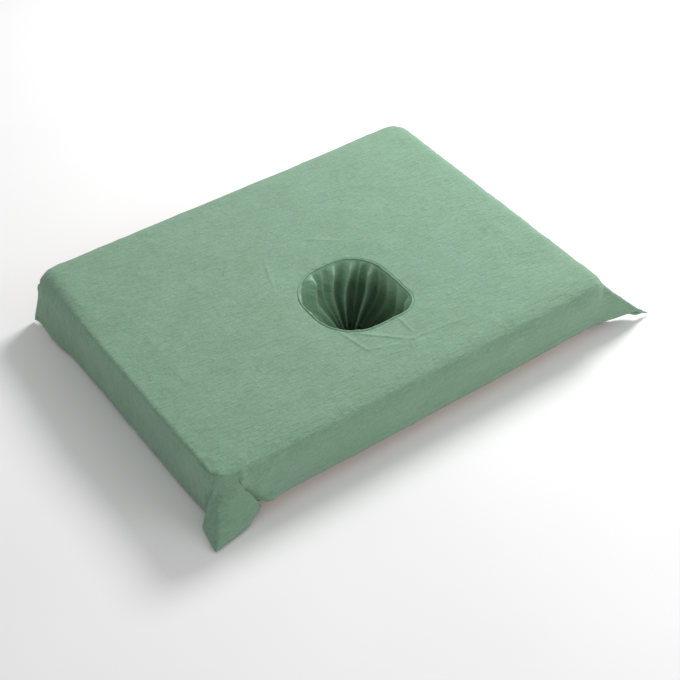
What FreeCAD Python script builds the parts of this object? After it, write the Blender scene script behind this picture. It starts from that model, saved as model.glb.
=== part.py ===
"""Face cradle cushion: a rectangular massage face cushion with a face hole, dressed in a loose cloth cover.

Frame, in millimetres: the origin is the centre of the back loop strip's face, on the surface the cushion
rests on. +X runs along the long side, -Y towards the side the cover hangs over, +Z up. Everything is drawn
about the middle of the cushion, and moved to that origin at the end.

The cushion is a plywood base board with two foam layers that overhang it, wrapped in an upholstery skin
that is turned under the board and stapled. Loop strips on the underside hold it to a couch or a cradle platform.
The cover is one sheet that hangs over three sides, with a gathered sleeve sewn into its own hole.
It lifts straight off.
"""
import FreeCAD
import Part
import math
import os

# ---- driving dimensions -------------------------------------------------------------------------
LENGTH = 700.0  # along X, over the upholstery
DEPTH = 530.0  # along Y, over the upholstery
HEIGHT = 100.0  # resting surface to the top of the cover
CORNER_R = 30.0  # upright corners of the cushion, in plan
EDGE_R = 26.0  # rounded top edges
UNDERCUT = 24.0  # the board's edge is this far in from the cushion's side
TAPER_TOP = 31.0  # height where the undercut ends

STRIP_T = 2.0  # loop strips
DUST_T = 0.5  # dust cover
SKIN_T = 1.1  # upholstery
BOARD_T = 9.0  # plywood
CORE_T = 55.0  # firm foam
CLOTH_T = 1.2  # cover cloth
COVER_GAP = 0.6  # air between the upholstery and the cover

FLANGE_W = 30.0  # upholstery turned under the board
LINER_FLANGE_W = 25.0  # hole liner turned under the board
DUST_INSET = 12.0  # dust cover, in from the board's edges

# The face hole in the cover: a rounded rectangle whose corners differ, since the cloth pulls it askew
HOLE_X, HOLE_Y = 9.0, -66.0
HOLE_W, HOLE_L = 150.0, 159.0
HOLE_RADII = (62.0, 30.0, 42.0, 58.0)  # front left, front right, back right, back left
HOLE_MARGIN = 8.0  # the cushion's own hole is this much larger all round
CUSHION_HOLE_R = 46.0

SIDE_DROP = 95.0  # top of the cover to the hem, left and right
FRONT_DROP = 75.0  # the same in the middle of the front
BACK_EDGE_Y = 262.0  # the cover ends here, over the cushion's back edge
HEM_W = 12.0
SLEEVE_GATHER = 0.42  # lower end of the sleeve over its upper end, with the elastic unstretched
SLEEVE_END_Z = 5.0
CASING_H = 12.0  # the tunnel that holds the elastic
ELASTIC_W, ELASTIC_T = 8.0, 1.1
CASING_SLACK = 0.15  # air each side of the elastic

# The sheet's two front corners: how far each tip is from the axis of the cushion's corner, and its angle
FLAPS = ({"side": -1, "reach": 77.8, "angle": 225.0}, {"side": 1, "reach": 116.5, "angle": 336.7})
FLAP_TIP_Z = 2.0

STRIP_W, BACK_STRIP_L, FRONT_STRIP_L = 50.0, 420.0, 150.0
BACK_STRIP_Y, FRONT_STRIP_X, FRONT_STRIP_Y = 150.0, 220.0, -190.0
STAPLE_CROWN, STAPLE_WIRE, STAPLE_LEG = 12.0, 0.6, 9.0
STAPLE_PITCH = 46.0
STAPLE_INSET = 19.0  # staples, in from the board's edges
THREAD_W = 0.6
THREAD_PROUD, SKIN_THREAD_PROUD = 0.25, 0.2  # on the cover, and on the upholstery
SEAM_MARGIN = 5.0  # upholstery seam, out from the edge of its hole
RIM_SEAM_MARGIN = 3.0  # the same for the cover

# ---- levels worked out from the thicknesses -----------------------------------------------------
DUST_Z = STRIP_T
FLANGE_Z = DUST_Z + DUST_T
BOARD_Z = FLANGE_Z + SKIN_T
CORE_Z = BOARD_Z + BOARD_T
COMFORT_Z = CORE_Z + CORE_T
CLOTH_OUT = COVER_GAP + CLOTH_T  # outer face of the cloth, out from the upholstery
SKIN_TOP = HEIGHT - CLOTH_OUT
SIDE_HEM_Z = HEIGHT - SIDE_DROP
FRONT_HEM_Z = HEIGHT - FRONT_DROP
SMALL_R = 3.0  # the least corner radius
BIG = 1000.0


def vec(x, y, z=0.0):
    return FreeCAD.Vector(x, y, z)


def box(x0, x1, y0, y1, z0, z1):
    return Part.makeBox(x1 - x0, y1 - y0, z1 - z0, vec(x0, y0, z0))


def rounded_wire(cx, cy, width, length, radii, z):
    """A rectangle with a radius for each corner: front left, front right, back right, back left."""
    signs = ((-1, -1), (1, -1), (1, 1), (-1, 1))
    ends = []
    for (sx, sy), r in zip(signs, radii):
        centre = vec(cx + sx * (width / 2 - r), cy + sy * (length / 2 - r), z)
        middle = math.atan2(sy, sx)
        arc = [centre + vec(math.cos(middle + t), math.sin(middle + t)) * r
               for t in (-math.pi / 4, 0, math.pi / 4)]
        ends.append(arc)
    edges = []
    for i, arc in enumerate(ends):
        edges.append(Part.Arc(*arc).toShape())
        edges.append(Part.LineSegment(arc[2], ends[(i + 1) % 4][0]).toShape())
    return Part.Wire(edges)


def prism(wire, height):
    return Part.Face(wire).extrude(vec(0, 0, height))


def slab(out, z0, z1):
    """The cushion's plan, grown by out, as a straight block."""
    radius = max(CORNER_R + out, SMALL_R)
    return prism(rounded_wire(0, 0, LENGTH + 2 * out, DEPTH + 2 * out, [radius] * 4, z0), z1 - z0)


def block(out, z0, z1):
    """The cushion's plan, grown by out, with its top edges rounded."""
    solid = slab(out, z0, z1)
    top = [e for e in solid.Edges if all(abs(v.Z - z1) < 1e-6 for v in e.Vertexes)]
    return solid.makeFillet(EDGE_R + out, top).Solids[0]


def cushion_hole(out, z0, z1):
    """The hole through the cushion, grown by out."""
    width = HOLE_W + 2 * (HOLE_MARGIN + out)
    length = HOLE_L + 2 * (HOLE_MARGIN + out)
    return prism(rounded_wire(HOLE_X, HOLE_Y, width, length, [CUSHION_HOLE_R + out] * 4, z0), z1 - z0)


def cloth_hole_wire(out, z, scale=1.0):
    """The outline of the hole in the cover, scaled about its centre and then grown by out."""
    radii = [r * scale + out for r in HOLE_RADII]
    return rounded_wire(HOLE_X, HOLE_Y, HOLE_W * scale + 2 * out, HOLE_L * scale + 2 * out, radii, z)


def cloth_hole(out, z0, z1, scale=1.0):
    return prism(cloth_hole_wire(out, z0, scale), z1 - z0)


def cushion_form(out, z0, z1):
    """The cushion's outside from z0 to z1, grown by out: board, undercut, straight sides, rounded top."""
    radius = max(CORNER_R - UNDERCUT + out, SMALL_R)
    width, length = LENGTH - 2 * UNDERCUT + 2 * out, DEPTH - 2 * UNDERCUT + 2 * out
    low = rounded_wire(0, 0, width, length, [radius] * 4, CORE_Z)
    high = rounded_wire(0, 0, LENGTH + 2 * out, DEPTH + 2 * out, [CORNER_R + out] * 4, TAPER_TOP)
    taper = Part.makeLoft([low, high], True, True)
    form = block(out, TAPER_TOP, z1).fuse(taper)
    if z0 < CORE_Z:
        form = form.fuse(slab(out - UNDERCUT, z0, CORE_Z))
    return form


# ---- the cushion --------------------------------------------------------------------------------
def stapled(shape):
    """The shape with the staples' own holes through it."""
    return shape.cut(perimeter_staples().Solids + hole_staples().Solids)


def base_board():
    return stapled(slab(-SKIN_T - UNDERCUT, BOARD_Z, CORE_Z).cut(cushion_hole(SKIN_T, 0, BIG)))


def foam_core():
    form = cushion_form(-SKIN_T, CORE_Z, SKIN_TOP - SKIN_T)
    core = form.cut(box(-BIG, BIG, -BIG, BIG, COMFORT_Z, BIG))
    return core.cut(cushion_hole(SKIN_T, 0, BIG)).removeSplitter()


def comfort_foam():
    return block(-SKIN_T, COMFORT_Z, SKIN_TOP - SKIN_T).cut(cushion_hole(SKIN_T, 0, BIG))


def upholstery_cover():
    """Top, sides and the flange that is turned under the board, as one skin."""
    skin = cushion_form(0, FLANGE_Z, SKIN_TOP).cut(cushion_form(-SKIN_T, BOARD_Z, SKIN_TOP - SKIN_T))
    skin = skin.cut(slab(-UNDERCUT - FLANGE_W, 0, BOARD_Z + 1))
    return stapled(skin.cut(cushion_hole(SKIN_T, 0, BIG)).removeSplitter())


def hole_liner():
    tube = cushion_hole(SKIN_T, FLANGE_Z, SKIN_TOP)
    flange = cushion_hole(LINER_FLANGE_W, FLANGE_Z, BOARD_Z)
    return stapled(tube.fuse(flange).cut(cushion_hole(0, 0, BIG)).removeSplitter())


def dust_cover():
    dust = slab(-UNDERCUT - DUST_INSET, DUST_Z, FLANGE_Z)
    return stapled(dust.cut(cushion_hole(DUST_INSET, 0, BIG)))


def hole_seam_thread():
    ring = cushion_hole(SEAM_MARGIN + THREAD_W, SKIN_TOP, SKIN_TOP + SKIN_THREAD_PROUD)
    return ring.cut(cushion_hole(SEAM_MARGIN, 0, BIG))


def corner_seam_thread():
    """One upright line of thread down each corner of the upholstery."""
    z0, z1 = TAPER_TOP + 1, SKIN_TOP - EDGE_R
    proud = slab(SKIN_THREAD_PROUD, z0, z1).cut(slab(0, 0, BIG))
    lines = []
    for sx in (-1, 1):
        for sy in (-1, 1):
            line = box(0, 2 * CORNER_R, -THREAD_W / 2, THREAD_W / 2, z0, z1)
            line.rotate(vec(0, 0), vec(0, 0, 1), math.degrees(math.atan2(sy, sx)))
            line.translate(vec(sx * (LENGTH / 2 - CORNER_R), sy * (DEPTH / 2 - CORNER_R)))
            lines.append(proud.common(line).Solids[0])
    return Part.makeCompound(lines)


def staple(x, y, along_x):
    """A staple under the dust cover, its legs up through the upholstery into the board."""
    half, wire = STAPLE_CROWN / 2, STAPLE_WIRE / 2
    crown = box(-half, half, -wire, wire, DUST_Z - STAPLE_WIRE, DUST_Z)
    legs = [box(x0, x0 + STAPLE_WIRE, -wire, wire, DUST_Z - STAPLE_WIRE, DUST_Z + STAPLE_LEG)
            for x0 in (-half, half - STAPLE_WIRE)]
    solid = crown.fuse(legs).removeSplitter().Solids[0]
    solid.rotate(vec(0, 0), vec(0, 0, 1), 0 if along_x else 90)
    solid.translate(vec(x, y))
    return solid


def stations(reach, pitch):
    """Evenly spaced places from -reach to reach, about pitch apart."""
    count = round(2 * reach / pitch)
    return [-reach + 2 * reach * i / count for i in range(count + 1)]


def perimeter_staples():
    inset = UNDERCUT + STAPLE_INSET
    x_end, y_end = LENGTH / 2 - inset, DEPTH / 2 - inset
    clear = 20.0  # kept free at the corners
    long_sides = [staple(x, sy * y_end, True)
                  for sy in (-1, 1) for x in stations(x_end - clear, STAPLE_PITCH)]
    short_sides = [staple(sx * x_end, y, False)
                   for sx in (-1, 1) for y in stations(y_end - clear, STAPLE_PITCH)]
    return Part.makeCompound(long_sides + short_sides)


def hole_staples():
    x_end = HOLE_W / 2 + HOLE_MARGIN + STAPLE_INSET
    y_end = HOLE_L / 2 + HOLE_MARGIN + STAPLE_INSET
    reach = 40.0
    ends = [staple(HOLE_X + x, HOLE_Y + sy * y_end, True)
            for sy in (-1, 1) for x in stations(reach, reach)]
    sides = [staple(HOLE_X + sx * x_end, HOLE_Y + y, False)
             for sx in (-1, 1) for y in stations(reach, reach)]
    return Part.makeCompound(ends + sides)


def loop_strip(x, y, length):
    return prism(rounded_wire(x, y, length, STRIP_W, [SMALL_R] * 4, 0), STRIP_T)


# ---- the cover ----------------------------------------------------------------------------------
def front_hem_cutter(rise, y0, y1):
    """What lies below the front hem, which lifts in an arc between the corners."""
    half = LENGTH / 2 + CLOTH_OUT
    low, high = SIDE_HEM_Z + rise, FRONT_HEM_Z + rise
    arc = Part.Arc(vec(-half, y0, low), vec(0, y0, high), vec(half, y0, low)).toShape()
    corners = [vec(half, y0, low), vec(half, y0, -BIG), vec(-half, y0, -BIG), vec(-half, y0, low)]
    sides = [Part.LineSegment(a, b).toShape() for a, b in zip(corners, corners[1:])]
    return Part.Face(Part.Wire([arc] + sides)).extrude(vec(0, y1 - y0, 0))


def at_front_corner(shape, flap):
    """Turns a shape drawn along +X to a flap's angle, and moves it to that front corner's centre."""
    turned = shape.copy()
    turned.rotate(vec(0, 0), vec(0, 0, 1), flap["angle"])
    turned.translate(vec(flap["side"] * (LENGTH / 2 - CORNER_R), -(DEPTH / 2 - CORNER_R)))
    return turned


def corner_flap(flap):
    """The spare cloth at a front corner: a doubled fin that stands out from the corner."""
    start = CORNER_R + COVER_GAP + CLOTH_T / 2
    top = HEIGHT - CLOTH_OUT - EDGE_R
    reach = flap["reach"]
    outline = [vec(start, -CLOTH_T, top), vec(start, -CLOTH_T, SIDE_HEM_Z),
               vec(reach, -CLOTH_T, FLAP_TIP_Z), vec(reach, -CLOTH_T, FLAP_TIP_Z + SMALL_R)]
    face = Part.Face(Part.makePolygon(outline + outline[:1]))
    return at_front_corner(face.extrude(vec(0, 2 * CLOTH_T, 0)), flap)


def cover_sheet():
    """One sheet over the top, the front and both ends, open at the back, with its two corner flaps."""
    sheet = block(CLOTH_OUT, SIDE_HEM_Z, HEIGHT).cut(block(COVER_GAP, -1, HEIGHT - CLOTH_T))
    sheet = sheet.cut(box(-BIG, BIG, BACK_EDGE_Y, BIG, -BIG, BIG))
    sheet = sheet.cut(front_hem_cutter(0, -BIG, -(DEPTH / 2 - CORNER_R)))
    sheet = sheet.cut(cloth_hole(0, HEIGHT - 2 * CLOTH_T, HEIGHT + 1))
    return sheet.fuse([corner_flap(flap) for flap in FLAPS]).removeSplitter()


def sleeve_wall(out):
    """The tapering inside of the sleeve, grown by out, from the cover down to the casing."""
    top, bottom = HEIGHT - CLOTH_T, SLEEVE_END_Z + CASING_H
    wires = [cloth_hole_wire(out, top), cloth_hole_wire(out, bottom, SLEEVE_GATHER)]
    taper = Part.makeLoft(wires, True, True)
    return taper.fuse(cloth_hole(out, top, HEIGHT))


def face_sleeve():
    """The cloth tube in the face hole, folded back on itself at its lower end to hold the elastic."""
    z0, z1 = SLEEVE_END_Z, SLEEVE_END_Z + CASING_H
    gap = ELASTIC_T + 2 * CASING_SLACK
    casing = cloth_hole(gap + CLOTH_T, z0, z1, SLEEVE_GATHER)
    tunnel_z0, tunnel_z1 = z0 + CLOTH_T, z1 - CLOTH_T
    tunnel = cloth_hole(gap, tunnel_z0, tunnel_z1, SLEEVE_GATHER)
    tunnel = tunnel.cut(cloth_hole(0, 0, BIG, SLEEVE_GATHER))
    inside = sleeve_wall(-CLOTH_T).fuse(cloth_hole(-CLOTH_T, z0 - 1, z1, SLEEVE_GATHER))
    sleeve = sleeve_wall(0).fuse(casing).cut(inside).cut(tunnel)
    # the elastic is threaded in through a slit in the casing's inner wall
    front = HOLE_Y - HOLE_L * SLEEVE_GATHER / 2
    slit = box(HOLE_X + 2, HOLE_X + 12, front - CLOTH_T / 2, front + 2 * CLOTH_T, tunnel_z0, tunnel_z1)
    return sleeve.cut(slit).removeSplitter()


def sleeve_elastic():
    z0 = SLEEVE_END_Z + (CASING_H - ELASTIC_W) / 2
    outer = cloth_hole(CASING_SLACK + ELASTIC_T, z0, z0 + ELASTIC_W, SLEEVE_GATHER)
    return outer.cut(cloth_hole(CASING_SLACK, 0, BIG, SLEEVE_GATHER))


def rim_thread():
    ring = cloth_hole(RIM_SEAM_MARGIN + THREAD_W, HEIGHT, HEIGHT + THREAD_PROUD)
    return ring.cut(cloth_hole(RIM_SEAM_MARGIN, 0, BIG))


def sleeve_seam_thread():
    """The seam that closes the sleeve's tube, on its inner face at the back."""
    top, bottom = HEIGHT - CLOTH_T, SLEEVE_END_Z + CASING_H
    wires = []
    for z, scale in ((top, 1.0), (bottom, SLEEVE_GATHER)):
        y = HOLE_Y + HOLE_L * scale / 2 - CLOTH_T
        x = HOLE_X
        corners = [vec(x, y, z), vec(x + THREAD_W, y, z), vec(x + THREAD_W, y - THREAD_PROUD, z),
                   vec(x, y - THREAD_PROUD, z)]
        wires.append(Part.makePolygon(corners + corners[:1]))
    return Part.makeLoft(wires, True, True)


def hem_thread():
    """The line of stitching a hem's width in from the edge of the sheet."""
    skin = block(CLOTH_OUT + THREAD_PROUD, -1, HEIGHT + THREAD_PROUD).cut(block(CLOTH_OUT, -2, HEIGHT))
    low, line_y = SIDE_HEM_Z + HEM_W, BACK_EDGE_Y - HEM_W
    front_y = -(DEPTH / 2 - CORNER_R)
    side = box(LENGTH / 2, BIG, front_y, line_y, low, low + THREAD_W)
    mirrored = side.mirror(vec(0, 0), vec(1, 0, 0))
    front = front_hem_cutter(HEM_W + THREAD_W, -BIG, front_y).cut(front_hem_cutter(HEM_W, -BIG, front_y))
    front = front.common(box(-LENGTH / 2 + CORNER_R, LENGTH / 2 - CORNER_R, -BIG, 0, 0, BIG))
    back = box(-BIG, BIG, line_y, line_y + THREAD_W, low, BIG)
    lines = [skin.common(cutter).Solids for cutter in (side, mirrored, front, back)]
    return Part.makeCompound([solid for group in lines for solid in group])


def corner_tacks():
    """A small knot of thread at each corner of the sheet, where the two hems cross."""
    radius, proud, from_tip = 1.5, 0.5, 12.0
    knots = []
    for flap in FLAPS:
        spot = vec(flap["reach"] - from_tip, -CLOTH_T, FLAP_TIP_Z + 5)
        knots.append(at_front_corner(Part.makeCylinder(radius, proud, spot, vec(0, -1, 0)), flap))
    for side in (-1, 1):
        spot = vec(side * (LENGTH / 2 + CLOTH_OUT), DEPTH / 2 - CORNER_R - 5, SIDE_HEM_Z + HEM_W / 2)
        knots.append(Part.makeCylinder(radius, proud, spot, vec(side, 0, 0)))
    return Part.makeCompound(knots)


NODES = {
    "base_board": base_board,
    "foam_core": foam_core,
    "comfort_foam": comfort_foam,
    "upholstery_cover": upholstery_cover,
    "hole_liner": hole_liner,
    "hole_seam_thread": hole_seam_thread,
    "corner_seam_thread": corner_seam_thread,
    "dust_cover": dust_cover,
    "perimeter_staples": perimeter_staples,
    "hole_staples": hole_staples,
    "loop_strip_back": lambda: loop_strip(0, BACK_STRIP_Y, BACK_STRIP_L),
    "loop_strip_front_left": lambda: loop_strip(-FRONT_STRIP_X, FRONT_STRIP_Y, FRONT_STRIP_L),
    "loop_strip_front_right": lambda: loop_strip(FRONT_STRIP_X, FRONT_STRIP_Y, FRONT_STRIP_L),
    "cover_sheet": cover_sheet,
    "face_sleeve": face_sleeve,
    "sleeve_elastic": sleeve_elastic,
    "sleeve_seam_thread": sleeve_seam_thread,
    "rim_thread": rim_thread,
    "hem_thread": hem_thread,
    "corner_tacks": corner_tacks,
}

os.makedirs("parts", exist_ok=True)
for name, make in NODES.items():
    shape = make()
    shape.translate(vec(0, -BACK_STRIP_Y, 0))
    shape.exportStep("parts/" + name + ".step")
    print(name, "solids", len(shape.Solids), "valid", shape.isValid(), "volume", round(shape.Volume))
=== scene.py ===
"""Looks of the face cradle cushion: a tan upholstered cushion under a loose green cloth cover.

Lengths are in metres. Each piece is worked out about the middle of the cushion, and moved into the
frame's own place at the end. The middle, the sizes and the heights come from the frame's boxes.
"""

import math

import bpy
import numpy as np
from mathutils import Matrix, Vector, noise
from mathutils.bvhtree import BVHTree
from mathutils.interpolate import poly_3d_calc


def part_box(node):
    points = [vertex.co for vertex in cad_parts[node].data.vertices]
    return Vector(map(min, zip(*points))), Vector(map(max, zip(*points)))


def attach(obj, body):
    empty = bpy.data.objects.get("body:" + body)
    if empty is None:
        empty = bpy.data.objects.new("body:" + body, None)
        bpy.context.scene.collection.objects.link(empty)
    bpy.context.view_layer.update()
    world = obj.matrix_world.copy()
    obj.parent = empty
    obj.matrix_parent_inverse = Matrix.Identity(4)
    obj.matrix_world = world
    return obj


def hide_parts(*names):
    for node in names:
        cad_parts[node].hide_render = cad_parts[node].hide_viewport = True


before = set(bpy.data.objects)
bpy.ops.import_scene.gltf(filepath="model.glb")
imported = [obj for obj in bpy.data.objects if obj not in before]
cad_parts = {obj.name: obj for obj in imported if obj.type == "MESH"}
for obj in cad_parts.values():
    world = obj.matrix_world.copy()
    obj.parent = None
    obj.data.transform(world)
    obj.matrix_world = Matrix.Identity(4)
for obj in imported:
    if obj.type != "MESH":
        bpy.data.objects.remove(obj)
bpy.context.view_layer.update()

# ---- sizes from the frame ---------------------------------
SKIN_LOW, SKIN_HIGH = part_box("upholstery_cover")
SLEEVE_LOW, SLEEVE_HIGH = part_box("face_sleeve")
BOARD_LOW, BOARD_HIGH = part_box("base_board")
MIDDLE = np.array([(SKIN_LOW.x + SKIN_HIGH.x) / 2, (SKIN_LOW.y + SKIN_HIGH.y) / 2, 0.0])
HALF_X = (SKIN_HIGH.x - SKIN_LOW.x) / 2
HALF_Y = (SKIN_HIGH.y - SKIN_LOW.y) / 2
SKIN_TOP = SKIN_HIGH.z
HOLE_X = (SLEEVE_LOW.x + SLEEVE_HIGH.x) / 2 - MIDDLE[0]
HOLE_Y = (SLEEVE_LOW.y + SLEEVE_HIGH.y) / 2 - MIDDLE[1]
HOLE_W = SLEEVE_HIGH.x - SLEEVE_LOW.x
HOLE_L = SLEEVE_HIGH.y - SLEEVE_LOW.y
UNDERCUT = BOARD_LOW.x - SKIN_LOW.x

# ---- the cushion's own driving sizes ----------------------
CORNER_R = 0.030
EDGE_R = 0.026
TAPER_TOP = 0.031  # height where the undercut ends
CROWN = 0.003  # how far the padded top rises in its middle
HOLE_GAP = 0.008  # the cushion's hole is this much larger than the cover's, all round
CUSHION_HOLE_R = 0.046
HOLE_EDGE_R = 0.006
PUCKER = 0.0014  # the most that the side stands out between the stitches of its seam
PUCKER_REACH = 0.011  # how far above and below the seam the puckers die out
# The seam between the top panel and the side band: outward and upward from where the top's curve begins.
BAND_SEAM = (
    (0.0002, -0.0060), (0.0008, -0.0030), (0.0009, -0.0012), (0.0001, -0.0002),
    (0.0001, 0.0002), (0.0009, 0.0012), (0.0007, 0.0024),
)
BAND_STITCH_UP, BAND_STITCH_OUT = 0.0046, 0.0006

# ---- the cover's own driving sizes ------------------------
HOLE_RADII = (0.064, 0.036, 0.058, 0.066)  # front left, front right, back right, back left
RIM_TURN = 0.0025  # the rim is turned in by this much from the cut hole
CUT_HALF_U = 0.436  # the sheet as cut, from the middle of the cushion to its left and right hems
CUT_FRONT, CUT_BACK = 0.334, 0.266  # the same to its front and back hems
HEM_LEFT, HEM_RIGHT, HEM_FRONT, HEM_BACK = -CUT_HALF_U, CUT_HALF_U, -CUT_FRONT, CUT_BACK
CELL = 0.0065  # size of the sheet's mesh before it is subdivided
CLOTH_T, HEM_T = 0.0009, 0.0017
HEM_W = 0.011
CLOTH_Z = SKIN_TOP + 0.0016  # height of the cloth's middle surface at the top's edges
SIDE_GAP = 0.0015  # how far that surface stands off the cushion's sides
RIM_CROWN = 0.15  # the share of the padding's crown that is left at the hole's rim
RING_MARGIN = 0.058  # width of the band of rings round the hole
# Distances of those rings from the hole's outline.
RINGS = (0, 0.0012, 0.0024, 0.0036, 0.0052, 0.0075, 0.0105, 0.014, 0.018, 0.023, 0.029, 0.036, 0.043, 0.050)
SIM_FRAMES = 12
FLAP_TIPS = ((HEM_LEFT, HEM_FRONT), (HEM_RIGHT, HEM_FRONT))
TIP_Z = 0.003  # height of the flaps' tips above the floor before the cover settles
TOP_MARGIN, TOP_FADE = 0.055, 0.03  # the top is held from this far inside its edges, and more further in
DENT_ANGLE, DENT_WIDTH = math.radians(38), math.radians(9)  # the dent down the front left flap
HELD_HEM_POINTS = (
    (HEM_LEFT, HEM_FRONT), (HEM_LEFT, -0.288), (-0.350, HEM_FRONT),
    (HEM_RIGHT, HEM_FRONT), (0.352, HEM_FRONT),
    (HEM_LEFT, HEM_BACK), (HEM_RIGHT, HEM_BACK),
)

# How each corner of the cover hangs: points of its hem on the cut sheet, and where they stand in plan.
# At the front left the spare cloth is tucked in behind two folds, like a box pleat round the corner.
TRIM = np.array([0.012, 0.014])  # what the front left corner is cut short by
TRIM_FROM_U, TRIM_FROM_V = 0.320, 0.236  # where that begins
ROLL_R = 0.0305  # the cover goes over the cushion's edges at this radius
ROLL_X, ROLL_Y = HALF_X + SIDE_GAP - ROLL_R, HALF_Y + SIDE_GAP - ROLL_R  # where those rolls begin
FRONT_LEFT_FOLDS = (
    ((HEM_LEFT, -0.248), (-0.3492, -0.2477)),
    ((HEM_LEFT, -0.260), (-0.3426, -0.2576)),
    ((HEM_LEFT, -0.288), (-0.3670, -0.2430)),
    ((HEM_LEFT, HEM_FRONT), (-0.3775, -0.2935)),
    ((-0.385, HEM_FRONT), (-0.3210, -0.2835)),
    ((-0.350, HEM_FRONT), (-0.2885, -0.2690)),
    ((-0.325, HEM_FRONT), (-0.3150, -0.2672)),
)
FRONT_RIGHT_FOLDS = (
    ((HEM_RIGHT, -0.255), (0.3525, -0.2525)),
    ((HEM_RIGHT, HEM_FRONT), (0.4285, -0.2820)),
    ((0.352, HEM_FRONT), (0.3490, -0.2665)),
)
BACK_LEFT_FOLDS = (((HEM_LEFT, HEM_BACK), (-0.361, 0.264)),)
BACK_RIGHT_FOLDS = (((HEM_RIGHT, HEM_BACK), (0.361, 0.264)),)

# Creases pressed into the cloth: start, end, half width and rise.
CREASES = (
    ((-0.052, -0.124), (0.030, -0.204), 0.0032, 0.0016),
    ((0.035, -0.143), (0.033, -0.190), 0.0026, 0.0011),
    ((0.006, -0.194), (0.116, -0.207), 0.0030, 0.0015),
    ((-0.055, -0.118), (-0.042, -0.186), 0.0030, 0.0013),
    ((-0.050, -0.176), (0.004, -0.195), 0.0028, 0.0012),
    ((-0.078, 0.010), (-0.056, 0.072), 0.0030, 0.0009),
    ((0.020, 0.082), (0.078, 0.040), 0.0030, 0.0009),
)
RIM_PUCKERS = (  # degrees about the hole's centre
    112, 98, 92, 82, 59, 49, 43, 22, 5, -12, -43, -47, -52, -75, -100, -118, -140, -158, 172, 150, 131,
)
RIM_STITCH_OUT = 0.0034  # from the hole's outline to the line of stitches round it
TACK_INSET = 0.009  # from the hems to the tacks at the sheet's corners
EDGE_U, EDGE_V = 0.345, 0.260  # where the cushion's edges lie on the cut sheet
LEFT_CRISP, FRONT_CRISP = 0.85, 0.25  # 1 would draw the cloth out to a square edge

WEAVE_R, WEAVE_SHIFT = 0.082, 0.3  # the weave runs round the sleeve at this radius, apart from the sheet's
SLEEVE_TAPER = 0.16  # how much the sleeve narrows over its depth, before its gathers
SLEEVE_GATHER = 0.30  # the size of its foot, as a share of the rim's
FOLD_DEPTH = 0.0135
FOLD_MEAN = 0.35  # the folds stand inward and outward of this share of their depth
THREAD_PITCH = 0.0009
CLOTH_TONES = ((0.30, (0.196, 0.344, 0.236)), (0.50, (0.230, 0.388, 0.270)), (0.70, (0.272, 0.440, 0.314)))
SLEEVE_PAINTED_SHADE = (  # painted shade and painted light: at these shares of its depth the sleeve's colour is this many times the sheet's, lighter near the rim and darker towards the foot
    (0.05, (1.60, 1.54, 1.60)), (0.34, (0.98, 1.00, 0.96)),
    (0.58, (0.40, 0.46, 0.38)), (0.80, (0.14, 0.18, 0.13)),
)
PAINTED_LIGHT_ANGLE, PAINTED_LIGHT_WIDTH = 134, 46  # painted light: the sleeve's left side counts as shallower, so its colour stays bright further down; in degrees
# The sleeve's folds: angle about the hole's centre, half width, size, and how far it leans by the bottom.
SLEEVE_FOLDS = (
    (143, 11, 0.5, 4), (108, 4.6, 1.3, 4), (92, 3.0, 0.5, 2), (76, 5.0, 1.1, 10), (54, 4.4, 1.2, 16),
    (44, 2.2, 0.4, 6), (31, 3.6, 1.4, 3), (20, 2.4, 0.3, -4), (3, 6.0, 0.35, -10), (-17, 6.0, 0.5, -14),
    (-36, 3.6, 0.8, -6), (-46, 2.0, 0.5, 0), (-54, 2.2, 0.6, 3), (-68, 4.2, 1.0, 0), (-88, 4.6, 0.9, 4),
    (-108, 4.0, 1.2, -3), (-128, 4.8, 0.9, 5), (-148, 4.4, 1.1, 0), (-168, 4.6, 0.9, -4), (170, 4.0, 1.0, 3),
)


def smooth_step(t):
    t = np.clip(t, 0, 1)
    return t * t * (3 - 2 * t)


def add_mesh(name, points, faces, smooth=True):
    """A mesh object of points about the cushion's middle."""
    mesh = bpy.data.meshes.new(name)
    mesh.from_pydata((np.asarray(points) + MIDDLE).tolist(), [], [tuple(f) for f in faces])
    mesh.validate()
    mesh.polygons.foreach_set("use_smooth", [smooth] * len(mesh.polygons))
    obj = bpy.data.objects.new(name, mesh)
    bpy.context.scene.collection.objects.link(obj)
    return obj


def local_points(mesh):
    co = np.zeros(len(mesh.vertices) * 3)
    mesh.vertices.foreach_get("co", co)
    return co.reshape(-1, 3) - MIDDLE


def set_points(mesh, points):
    mesh.vertices.foreach_set("co", (points + MIDDLE).ravel())
    mesh.update()


def normals_of(mesh):
    flat = np.zeros(len(mesh.vertices) * 3)
    mesh.vertex_normals.foreach_get("vector", flat)
    return flat.reshape(-1, 3)


def set_vector(mesh, name, values):
    attribute = mesh.attributes.get(name) or mesh.attributes.new(name, "FLOAT_VECTOR", "POINT")
    attribute.data.foreach_set("vector", np.asarray(values, np.float32).ravel())


def get_vector(mesh, name):
    values = np.zeros(len(mesh.vertices) * 3, np.float32)
    mesh.attributes[name].data.foreach_get("vector", values)
    return values.reshape(-1, 3).astype(float)


def set_number(mesh, name, values):
    attribute = mesh.attributes.get(name) or mesh.attributes.new(name, "FLOAT", "POINT")
    attribute.data.foreach_set("value", np.asarray(values, np.float32))


def apply_modifiers(obj):
    """Turns what the modifiers make into the object's own mesh."""
    graph = bpy.context.evaluated_depsgraph_get()
    evaluated = obj.evaluated_get(graph)
    mesh = bpy.data.meshes.new_from_object(evaluated, preserve_all_data_layers=True, depsgraph=graph)
    obj.modifiers.clear()
    obj.shape_key_clear()
    obj.data = mesh


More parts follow.
